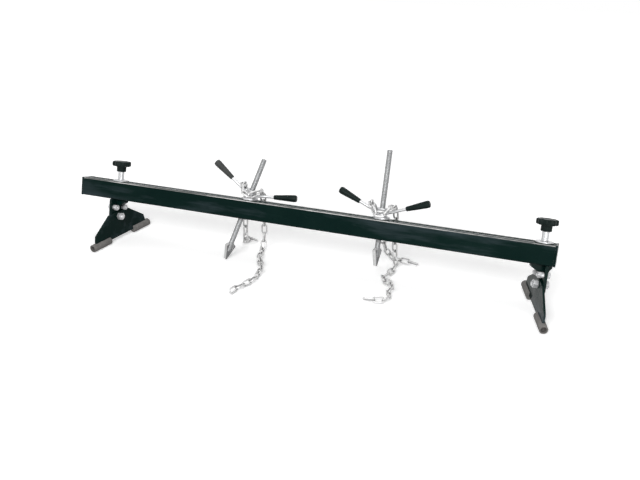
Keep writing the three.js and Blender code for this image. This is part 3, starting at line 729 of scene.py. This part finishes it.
DOME_RADIUS, DOME_BORE = 18, 8.5
DOME_LOW, DOME_HIGH = -7.5, -3  # below the dome's middle
SEAT_RADIUS, SEAT_HEIGHT, SEAT_CHAMFER = 24, 6.7, 0.8
ROD_THREAD = 0.75, 4  # depth and pitch
HUB_HEIGHT, HUB_RADIUS, COLLAR_RADIUS, COLLAR_HEIGHT = 22.7, 15, 17, 5
HANDLE_RADIUS, HANDLE_START, HANDLE_END = 4.25, 11, 120
HANDLE_HEIGHT, HANDLE_RISE = 0.5, math.radians(21)  # where a handle's axis meets the nut's
GRIP_PROFILE = [
    (0, HANDLE_END + GAP), (4.5, HANDLE_END + GAP), (4.5, 76), (6.1, 76), (6.6, 76.4), (6.8, 77.2),
    (7.3, 84), (8.2, 98), (9.4, 116), (10.2, 130), (10.6, 137), (10.5, 141), (10.0, 144),
    (8.9, 145.9), (7.1, 146.8), (4.4, 147), (0, 147),
]


def dome_points(radius, start, end, steps):
    """Points on a ball of this radius between two heights from its middle."""
    heights = [start + (end - start) * step / steps for step in range(steps + 1)]
    return [((radius ** 2 - height ** 2) ** 0.5, height) for height in heights]


def spindle_piece(side, made, look, body, node_name):
    finish_piece(made, look, f"{side}_spindle_{body}", f"{side}_spindle_{node_name}")


def make_seat(side, carriage):
    low = GAP - BALL_HEIGHT
    high = low + SEAT_HEIGHT
    dish = dome_points(DOME_RADIUS + GAP, high, low, 8)
    seat = turned(f"{side}_seat", [
        dish[-1], (SEAT_RADIUS - SEAT_CHAMFER, low), (SEAT_RADIUS, low + SEAT_CHAMFER),
        (SEAT_RADIUS, high - SEAT_CHAMFER), (SEAT_RADIUS - SEAT_CHAMFER, high), *dish,
    ], carriage, 72)
    spindle_piece(side, seat, ZINC, "carriage", "seat")


def make_ring(side, tilting):
    dome = dome_points(DOME_RADIUS, DOME_LOW, DOME_HIGH, 6)
    profile = [*dome, (DOME_BORE, DOME_HIGH), (DOME_BORE, DOME_LOW), dome[0]]
    spindle_piece(side, turned(f"{side}_ring", profile, tilting, 64), ZINC, "swing", "ring")


def make_screw(side, tilting, drop, hook_turn):
    """The threaded rod with the hook below it."""
    low, high = HOOK_TOP + GAP - drop, ROD_TOP - drop
    rod = threaded(f"{side}_screw", ROD_RADIUS, *ROD_THREAD, low, high, tilting, 40, 1.5)
    spindle_piece(side, rod, STEEL, "screw", "rod")
    across = (tilting @ turn(hook_turn, "Z")).to_3x3() @ Vector((0, 1, 0))
    plate = material(f"{side}_cut_plate", cut_plate(across))
    softened(f"{side}_arrow_hook", plate, f"{side}_spindle_screw", f"{side}_spindle_hook", 0.8)


def make_hub(side, nut):
    bore, bottom = ROD_RADIUS + GAP, GAP + DOME_HIGH
    top = bottom + HUB_HEIGHT
    shoulder = top - COLLAR_HEIGHT
    hub = turned(f"{side}_hub", [
        (bore, bottom), (HUB_RADIUS - 0.8, bottom), (HUB_RADIUS, bottom + 0.8),
        (HUB_RADIUS, shoulder - 0.4), (HUB_RADIUS + 0.6, shoulder),
        (COLLAR_RADIUS - 0.5, shoulder + 0.1), (COLLAR_RADIUS, shoulder + 0.8),
        (COLLAR_RADIUS, top - 1), (COLLAR_RADIUS - 1, top), (bore + 1, top), (bore, top - 1),
        (bore, bottom),
    ], nut, 64)
    spindle_piece(side, hub, ZINC, "nut", "hub")


def make_handles(side, nut):
    for index, half in enumerate((0, math.pi), 1):
        arm = nut @ turn(half, "Z") @ shift(0, 0, HANDLE_HEIGHT)
        arm = arm @ turn(math.pi / 2 - HANDLE_RISE, "Y")
        handle = turned(f"{side}_handle_{index}", [
            (0, HANDLE_START), (HANDLE_RADIUS, HANDLE_START), (HANDLE_RADIUS, HANDLE_END - 1),
            (3.6, HANDLE_END), (0, HANDLE_END),
        ], arm, 32)
        spindle_piece(side, handle, ZINC, "nut", f"handle_{index}")
        look = GREY_GRIP if (side, index) == ("left", 2) else PLASTIC
        grip = turned(f"{side}_grip_{index}", GRIP_PROFILE, arm)
        spindle_piece(side, grip, look, "nut", f"grip_{index}")


def make_spindle(side):
    place, lean, drop, nut_turn, hook_turn = SPINDLES[side]
    carriage = BEAM @ shift(place, 0, BALL_HEIGHT)
    tilting = carriage @ turn(lean, "Y")
    nut = tilting @ turn(nut_turn, "Z")
    make_seat(side, carriage)
    make_ring(side, tilting)
    make_screw(side, tilting, drop, hook_turn)
    make_hub(side, nut)
    make_handles(side, nut)


for side in SPINDLES:
    make_spindle(side)


# Chains. The routes go through the middle of the wire, from the short end to the long one.

LINK_PITCH, LINK_WIDTH, WIRE_RADIUS = 27.6, 21, 2.75
LYING = -177  # height of a chain on the floor, from the beam's top
CHAINS = {
    "left": {"short": 4, "long": 13, "route": [
        (-186, 90, LYING), (-209, 98, LYING), (-222, 78, LYING), (-210, 62, -176),
        (-203, 50, -160), (-202, 47, -130), (-199, 45, -90), (-195, 44, -50), (-192, 43, -5),
        (-188, 34, 26), (-182, 8, 48.6), (-172, -22, 43), (-157, -38, 28), (-140, -30, 26),
        (-125.5, -4, 32), (-129, 26, 22), (-134, 43, -5), (-134, 44, -50), (-134, 45, -90),
        (-136, 47, -130), (-139, 46, -160), (-137, 34, -176), (-131, 6, LYING),
        (-118, -34, LYING), (-98, -64, LYING), (-84, -98, LYING), (-75, -146, LYING),
        (-80, -184, LYING), (-94, -214, LYING), (-104, -256, LYING)]},
    "right": {"short": 3, "long": 12, "route": [
        (346, 104, LYING), (322, 110, LYING), (298, 114, LYING), (276, 98, -170),
        (262, 74, -140), (252, 52, -96), (240, 44, -50), (228, 43, -5), (222, 34, 26),
        (225, 8, 44.8), (240, -26, 36), (257, -35, 24), (275, -28, 28), (288, 2, 42),
        (290, 28, 26), (290, 43, -5), (289, 44, -50), (288, 50, -96), (288, 58, -140),
        (291, 68, -170), (289, 52, LYING), (288, 30, LYING), (280, 6, LYING), (272, -22, LYING),
        (292, -40, LYING), (316, -56, LYING), (314, -86, LYING), (318, -112, LYING),
        (326, -136, LYING), (304, -152, LYING), (262, -160, LYING)]},
}


def smooth_route(route):
    """Points close together on the centripetal curve through the route."""
    steps = 24
    points = [Vector(point) for point in route]
    points = [points[0] * 2 - points[1], *points, points[-1] * 2 - points[-2]]
    dense = []
    for a, b, c, d in zip(points, points[1:], points[2:], points[3:]):
        t1 = (b - a).length ** 0.5
        t2 = t1 + (c - b).length ** 0.5
        t3 = t2 + (d - c).length ** 0.5
        for step in range(steps):
            t = t1 + (t2 - t1) * step / steps
            a1 = a * ((t1 - t) / t1) + b * (t / t1)
            a2 = b * ((t2 - t) / (t2 - t1)) + c * ((t - t1) / (t2 - t1))
            a3 = c * ((t3 - t) / (t3 - t2)) + d * ((t - t2) / (t3 - t2))
            b1 = a1 * ((t2 - t) / t2) + a2 * (t / t2)
            b2 = a2 * ((t3 - t) / (t3 - t1)) + a3 * ((t - t1) / (t3 - t1))
            dense.append(b1 * ((t2 - t) / (t2 - t1)) + b2 * ((t - t1) / (t2 - t1)))
    dense.append(points[-2])
    return dense


def spaced(dense, pitch):
    """Points at even distances along the route, as near to the pitch as goes into its length."""
    lengths = [0]
    for a, b in zip(dense, dense[1:]):
        lengths.append(lengths[-1] + (b - a).length)
    count = round(lengths[-1] / pitch)
    result, at = [], 0
    for index in range(count + 1):
        want = lengths[-1] * index / count
        while at < len(lengths) - 2 and lengths[at + 1] < want:
            at += 1
        share = (want - lengths[at]) / (lengths[at + 1] - lengths[at])
        result.append(dense[at].lerp(dense[at + 1], min(1, share)))
    return result


def link(start, end, across, verts, faces):
    """Adds a link of round wire, its long way from start to end."""
    along = (end - start).normalized()
    out = across.cross(along).normalized()
    steps, sides = 9, 12  # along each end's bend and round the wire
    hook = 0.78 * WIRE_RADIUS  # how far the wire's middle reaches past the contact points
    bend = LINK_WIDTH / 2 - WIRE_RADIUS
    straight = (end - start).length / 2 + hook - bend
    middle = (start + end) / 2
    base = len(verts)
    for half in (0, 1):
        for step in range(steps + 1):
            angle = math.pi * (half - 0.5 + step / steps)
            radial = along * math.cos(angle) + out * math.sin(angle)
            centre = middle + along * (-straight if half else straight) + radial * bend
            for u, v, _ in circle(WIRE_RADIUS, 0, sides):
                verts.append(centre + radial * u + across * v)
    rings = ring_faces(2 * (steps + 1), sides, closed_rows=True)
    faces += [tuple(base + index for index in face) for face in rings]


def make_chain(side):
    """Links that each stand square to the last, in three runs."""
    facts = CHAINS[side]
    contacts = spaced(smooth_route(facts["route"]), LINK_PITCH)
    count = len(contacts) - 1
    runs = {"short_end": ([], []), "drape": ([], []), "long_end": ([], [])}
    square = Vector((0, 0, 1))
    for index, (start, end) in enumerate(zip(contacts, contacts[1:])):
        along = (end - start).normalized()
        square = (square - along * square.dot(along)).normalized()
        across = Matrix.Rotation(math.pi * (0.25 + index / 2), 3, along) @ square
        if index < facts["short"]:
            run = "short_end"
        else:
            run = "drape" if index < count - facts["long"] else "long_end"
        link(start, end, across, *runs[run])
    for run, (verts, faces) in runs.items():
        made = mesh_piece(f"{side}_links_{run}", verts, faces, WORLD, 60)
        finish_piece(made, CHAIN, f"{side}_spindle_carriage", f"{side}_chain_{run}")


for side in CHAINS:
    make_chain(side)


# Floor, light and camera

FLOOR_REACH, FLOOR_LEVEL = 6000, -0.4
GLOW_NEAR, GLOW_FAR = (0.6, 0.34), (2.4, 1)  # distance in metres, and the glow that is seen there
BOUNCE = (0.4, 0.4, 0.4)  # the floor's colour for the light that it throws back on the object
SOFT_LIGHT = 0.22  # of the surroundings on the object
# Place, target, size in metres and power in watts
LIGHTS = {
    "key": ((0.2, -2.6, 2.1), (0, 0, 0.1), (1.8, 1.2), 74),
    "top": ((0.3, 0.6, 2.6), (0, 0, 0.1), (3.0, 1.2), 22),
    "left": ((-2.8, -0.4, 1.2), (0.2, 0, 0.1), (1.2, 1.2), 5),
    "right": ((2.0, -2.7, 0.7), (0.5, 0, 0.1), (1.6, 1.0), 28),
}
CAMERA_PLACE = (814, -1944, 853)  # from the beam's origin
CAMERA_DOWN, CAMERA_LEFT = math.radians(24.54), math.radians(20.94)
FOCAL_PIXELS, PICTURE_PIXELS, SENSOR = 762.6, 640, 36


def white_floor(tree, shader):
    """Pale and softly lit, and shown pure white away from the object."""
    seen = seen_ray(tree)
    bright = blend(tree, noise(tree, 3, 3, 0.5), (0.9, 0.9, 0.9), (0.93, 0.93, 0.93))
    place = node(tree, "ShaderNodeTexCoord")
    reach = node(tree, "ShaderNodeVectorMath", {0: place.outputs["Object"]}, operation="LENGTH")
    (near, dim), (far, full) = GLOW_NEAR, GLOW_FAR
    glow = ramp(tree, reach.outputs["Value"], near, far, dim, full)
    fill(tree, shader, {
        "Base Color": blend(tree, seen, BOUNCE, bright),
        "Roughness": 0.9,
        "Specular IOR Level": 0.1,
        "Emission Color": (1, 1, 1, 1),
        "Emission Strength": maths(tree, "MULTIPLY", glow, seen),
    })


def make_floor():
    corners = [(-1, -1), (1, -1), (1, 1), (-1, 1)]
    verts = [(FLOOR_REACH * x, FLOOR_REACH * y, FLOOR_LEVEL) for x, y in corners]
    floor = mesh_piece("floor", verts, [(0, 1, 2, 3)], Matrix.Identity(4))
    bpy.context.scene.collection.objects.link(floor)
    floor.data.materials.append(material("floor", white_floor))


def make_world():
    world = bpy.data.worlds.new("studio")
    bpy.context.scene.world = world
    world.use_nodes = True
    tree = world.node_tree
    tree.nodes.clear()
    out = tree.nodes.new("ShaderNodeOutputWorld")
    white = (1, 1, 1, 1)
    soft = node(tree, "ShaderNodeBackground", {"Color": white, "Strength": SOFT_LIGHT})
    bright = node(tree, "ShaderNodeBackground", {"Color": white, "Strength": 1.0})
    inputs = {0: seen_ray(tree), 1: soft.outputs[0], 2: bright.outputs[0]}
    mix = node(tree, "ShaderNodeMixShader", inputs)
    tree.links.new(mix.outputs[0], out.inputs[0])


def make_light(name, place, target, size, power):
    data = bpy.data.lights.new(name, "AREA")
    data.shape = "RECTANGLE"
    data.size, data.size_y = size
    data.energy = power
    lamp = bpy.data.objects.new(name, data)
    lamp.location = place
    towards = Vector(target) - Vector(place)
    lamp.rotation_euler = towards.to_track_quat("-Z", "Y").to_euler()
    bpy.context.scene.collection.objects.link(lamp)


def make_camera():
    data = bpy.data.cameras.new("camera")
    data.sensor_width = SENSOR
    data.lens = SENSOR * FOCAL_PIXELS / PICTURE_PIXELS
    camera = bpy.data.objects.new("camera", data)
    camera.location = (Vector(CAMERA_PLACE) + BEAM_ORIGIN) * MM
    camera.rotation_euler = (math.pi / 2 - CAMERA_DOWN, 0, CAMERA_LEFT)
    bpy.context.scene.collection.objects.link(camera)
    bpy.context.scene.camera = camera


make_floor()
make_world()
for name, facts in LIGHTS.items():
    make_light(name, *facts)
make_camera()
bpy.context.scene.view_settings.view_transform = "Standard"
